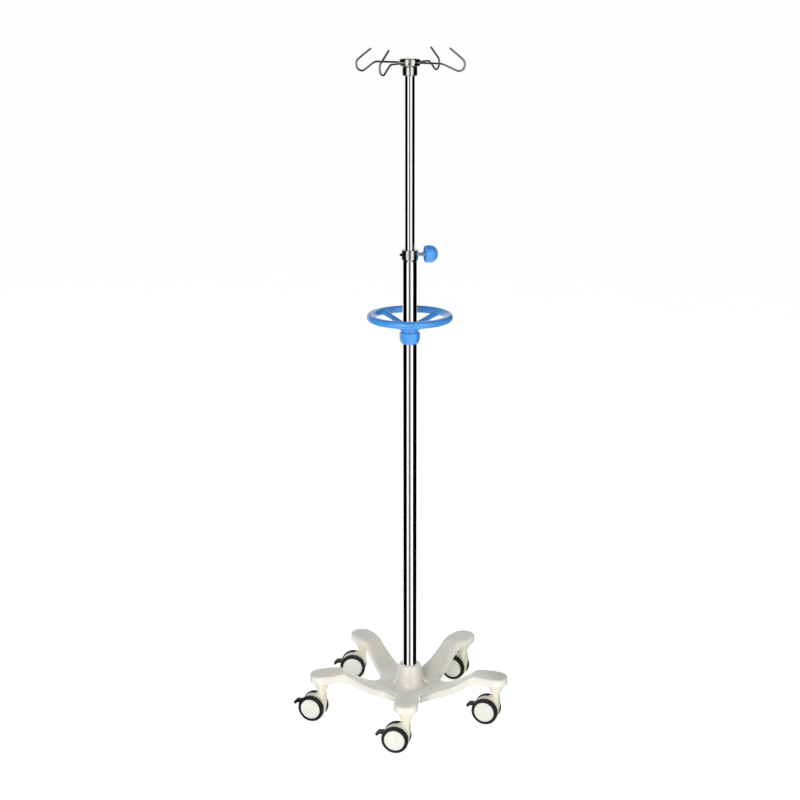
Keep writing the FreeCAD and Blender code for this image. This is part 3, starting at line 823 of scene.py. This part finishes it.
def hook_path(yaw, centre_z, droop, knee_r, tip_z):
    """Level arm, drooping stretch, U-bend, and leaning end up to tip_z, in the upright plane at this yaw."""
    fall = math.radians(droop)
    centre = (HOOK_CENTRE, centre_z)
    start = (centre[0] - HOOK_BEND * math.sin(fall), centre[1] - HOOK_BEND * math.cos(fall))
    knee_x = start[0] + start[1] / math.tan(fall)
    arm = rounded([(12, 0), (knee_x, 0, knee_r), start], closed=False, step=3, hold=2)[:-1]
    bend = arc(centre, HOOK_BEND, -math.pi / 2 - fall, HOOK_LEAN - math.pi / 2, 40)
    last = bend[-1]
    rise = tip_z - last[1]
    end = [(last[0] + rise * t / math.tan(HOOK_LEAN), last[1] + rise * t)
           for t in (0.03, 0.25, 0.5, 0.75, 0.97, 1.0)]
    flat = [tuple(p) for p in arm] + bend + end
    return [(u * math.cos(yaw), u * math.sin(yaw), w) for u, w in flat]


def hooks():
    """Each hook's yaw comes from its seat mount, and its bend's height from the node's lowest point."""
    mounts = {mount["name"]: mount for mount in frame["record"]["mounts"]}
    head_z = span("hook_head")[1].z - 9.5
    for number in range(1, HOOKS + 1):
        node = "hook_%d" % number
        seat = mounts[node + "_seat"]["pos_m"]
        low, high = span(node)
        centre_z = low.z + HOOK_BEND + HOOK_R - head_z
        droop, knee_r = (35.0, 24.0) if centre_z < -3 else (20.0, 40.0)
        yaw = math.atan2(seat[1], seat[0])
        path = hook_path(yaw, centre_z, droop, knee_r, high.z - HOOK_R - head_z)
        wire = placed(sweep(path, HOOK_R, 28), Matrix.Translation((0, 0, head_z)))
        name = "hook_wire_%d" % number
        show(name, mesh_from(name, wire), "mast", node, "hook_wire")


# ---------------------------------------------------------------- handle ring and nut
SPOKES = 4
GRIP_TOP = 942.0                # top of the ring's hub
GRIP_BORE = 17.65


def handle_ring():
    """Ring, four spokes that swell at both ends, and the hub, fused into one moulding."""
    low, high = span("handle_ring")
    ring_z = joint_point("handle_turn").z
    tube_r = high.z - ring_z
    ring_r = high.x - tube_r
    around = np.linspace(0, 2 * math.pi, 240, endpoint=False)
    section = [(ring_r + tube_r * math.cos(b), ring_z + tube_r * math.sin(b))
               for b in np.linspace(0, 2 * math.pi, 40, endpoint=False)]
    hoop = grid([[(r * math.cos(a), r * math.sin(a), z) for r, z in section] for a in around], True, True)
    nut_top = span("clamp_nut")[1].z
    hub = turned([(GRIP_BORE, nut_top - 1), (GRIP_BORE, GRIP_TOP), (19.2, GRIP_TOP, 1),
                  (21.4, GRIP_TOP - 5, 4), (19.8, nut_top + 4, 4), (19.6, nut_top + 0.4),
                  (19.2, nut_top + 0.4), (19.2, low.z), (18.9, low.z), (18.1, nut_top - 1)], 96)
    shapes = [hoop, hub]
    for k in range(SPOKES):
        turn = Matrix.Rotation(math.pi / 4 + k * 2 * math.pi / SPOKES, 4, "Z")
        near, far = Vector((20.5, 0, GRIP_TOP - 11)), Vector((ring_r - 1, 0, ring_z - 1))
        stops = [near + (far - near) * t for t in np.linspace(0, 1, 25)]
        radii = [6.0 + 1.9 * (2 * abs(t - 0.45)) ** 3.2 for t in np.linspace(0, 1, 25)]
        shapes.append(placed(sweep(stops, radii, 32), turn))
    mesh = softened("ring_moulding", mesh_from("ring_moulding", joined(shapes)), 0.9, 6)
    show("ring_moulding", mesh, "handle", "handle_ring", "blue_plastic")


def clamp_nut():
    """Soft octagonal nut whose foot rounds in to the column."""
    low, high = span("clamp_nut")

    def facets(angle, radius, height):
        flat = (sum(abs(math.cos(angle - math.pi * (2 * i + 1) / 8)) ** 26 for i in range(8))) ** (-1 / 26)
        share = smoothstep(low.z + 1, low.z + 9, height) * smoothstep(19.5, 21.5, radius)
        return 1 + (flat - 1) * share

    outline = [(COLUMN_R + 0.9, low.z), (COLUMN_R + 1.8, low.z, 0.8), (20.6, low.z + 3.2, 4),
               (22.4, low.z + 10, 8), (22.4, high.z, 1.8), (19.3, high.z, 0.2), (19.3, low.z + 7.8),
               (COLUMN_R + 1.6, low.z + 4), (COLUMN_R + 0.9, low.z + 4)]
    mesh = mesh_from("nut_moulding", turned(outline, 160, swell=facets), 50)
    show("nut_moulding", mesh, "handle_clamp_nut", "clamp_nut", "blue_plastic")


# ---------------------------------------------------------------- castors
RIM_R = 23.1                    # where the tyre sits on the wheel


def wheel_shape():
    """Wheel body and disc cover about Z, outer face up."""
    rim = RIM_R
    body = turned([(3.1, 9), (8, 9, 0.6), (9, 11, 0.6), (20, 11, 0.8), (21.2, 10.2, 0.4), (rim, 10.2),
                   (rim, 19.2), (rim - 2.4, 19.2), (rim - 2.4, 13.8), (9, 13.8, 1), (8, 16.8), (3.1, 16.8)], 96)
    cover = turned([(0.001, 18.6), (rim - 3.4, 18.6), (rim - 3.4, 19.2), (rim + 0.4, 19.2),
                    (rim + 0.4, 20.2, 0.6), (rim - 0.4, 21.0, 0.8), (rim - 2.0, 21.0, 0.8),
                    (rim - 2.9, 20.0, 0.9), (16, 20.2, 8), (0.001, 20.6)], 120)
    return joined([body, cover])


def tyre_shape():
    rim = RIM_R + 0.05
    return turned([(rim, 10.1, 0.2), (27.5, 9.8, 0.8), (WHEEL_R, 10.4, 2.6), (WHEEL_R, 20.3, 3),
                   (27, 20.6, 0.8), (rim + 0.6, 20.3, 0.3), (rim + 0.6, 19.2), (rim, 19.2)], 120)


def casters():
    """Five castors from the same meshes, each carried to its stem."""
    first = caster_place(1)
    hood = softened("hood", cad_copy("caster_1_housing", first), 0.7, 5)
    pedal = softened("pedal", cad_copy("caster_1_brake_pedal", first), 0.45, 4)
    far_side = Matrix.Translation((-TRAIL, 0, WHEEL_R)) @ Matrix.Rotation(-math.pi / 2, 4, "X")
    near_side = Matrix.Translation((-TRAIL, 0, WHEEL_R)) @ Matrix.Rotation(math.pi / 2, 4, "X")
    meshes = {}
    for side, place in (("left", near_side), ("right", far_side)):
        meshes[side + "_wheel"] = mesh_from(side + "_disc", placed(wheel_shape(), place))
        meshes[side + "_tyre"] = mesh_from(side + "_tread", placed(tyre_shape(), place))
    for number in range(1, LEGS + 1):
        prefix = "caster_%d_" % number
        place = caster_place(number)
        show(prefix + "hood", hood, prefix + "swivel", prefix + "housing", "caster_plastic", place)
        show(prefix + "pedal_lever", pedal, prefix + "pedal", prefix + "brake_pedal", "black_plastic", place)
        for side in ("left", "right"):
            body, wheel, tyre = prefix + "wheel_" + side, side + "_wheel", side + "_tyre"
            show(prefix + side + "_disc", meshes[wheel], body, prefix + wheel, "wheel_plastic", place)
            show(prefix + side + "_tread", meshes[tyre], body, prefix + tyre, "tyre", place)


def keep_out_of_polish():
    """Hides the base, cups, castors and ring from reflections, so the tubes mostly show the cards."""
    for piece in bpy.context.scene.objects:
        if piece.name.startswith(("caster_", "stem_cup", "base_moulding", "ring_moulding")):
            piece.visible_glossy = False


def main():
    make_camera()
    make_studio()
    finish_cad_nodes()
    base_star()
    stem_cups()
    tube("outer_tube", "lower_tube", "base", COLUMN_R - 1.5)
    tube("inner_tube", "upper_tube", "mast", MAST_R - 1.2)
    collar()
    clamp_screw()
    knob()
    hook_head()
    hooks()
    handle_ring()
    clamp_nut()
    casters()
    keep_out_of_polish()


main()
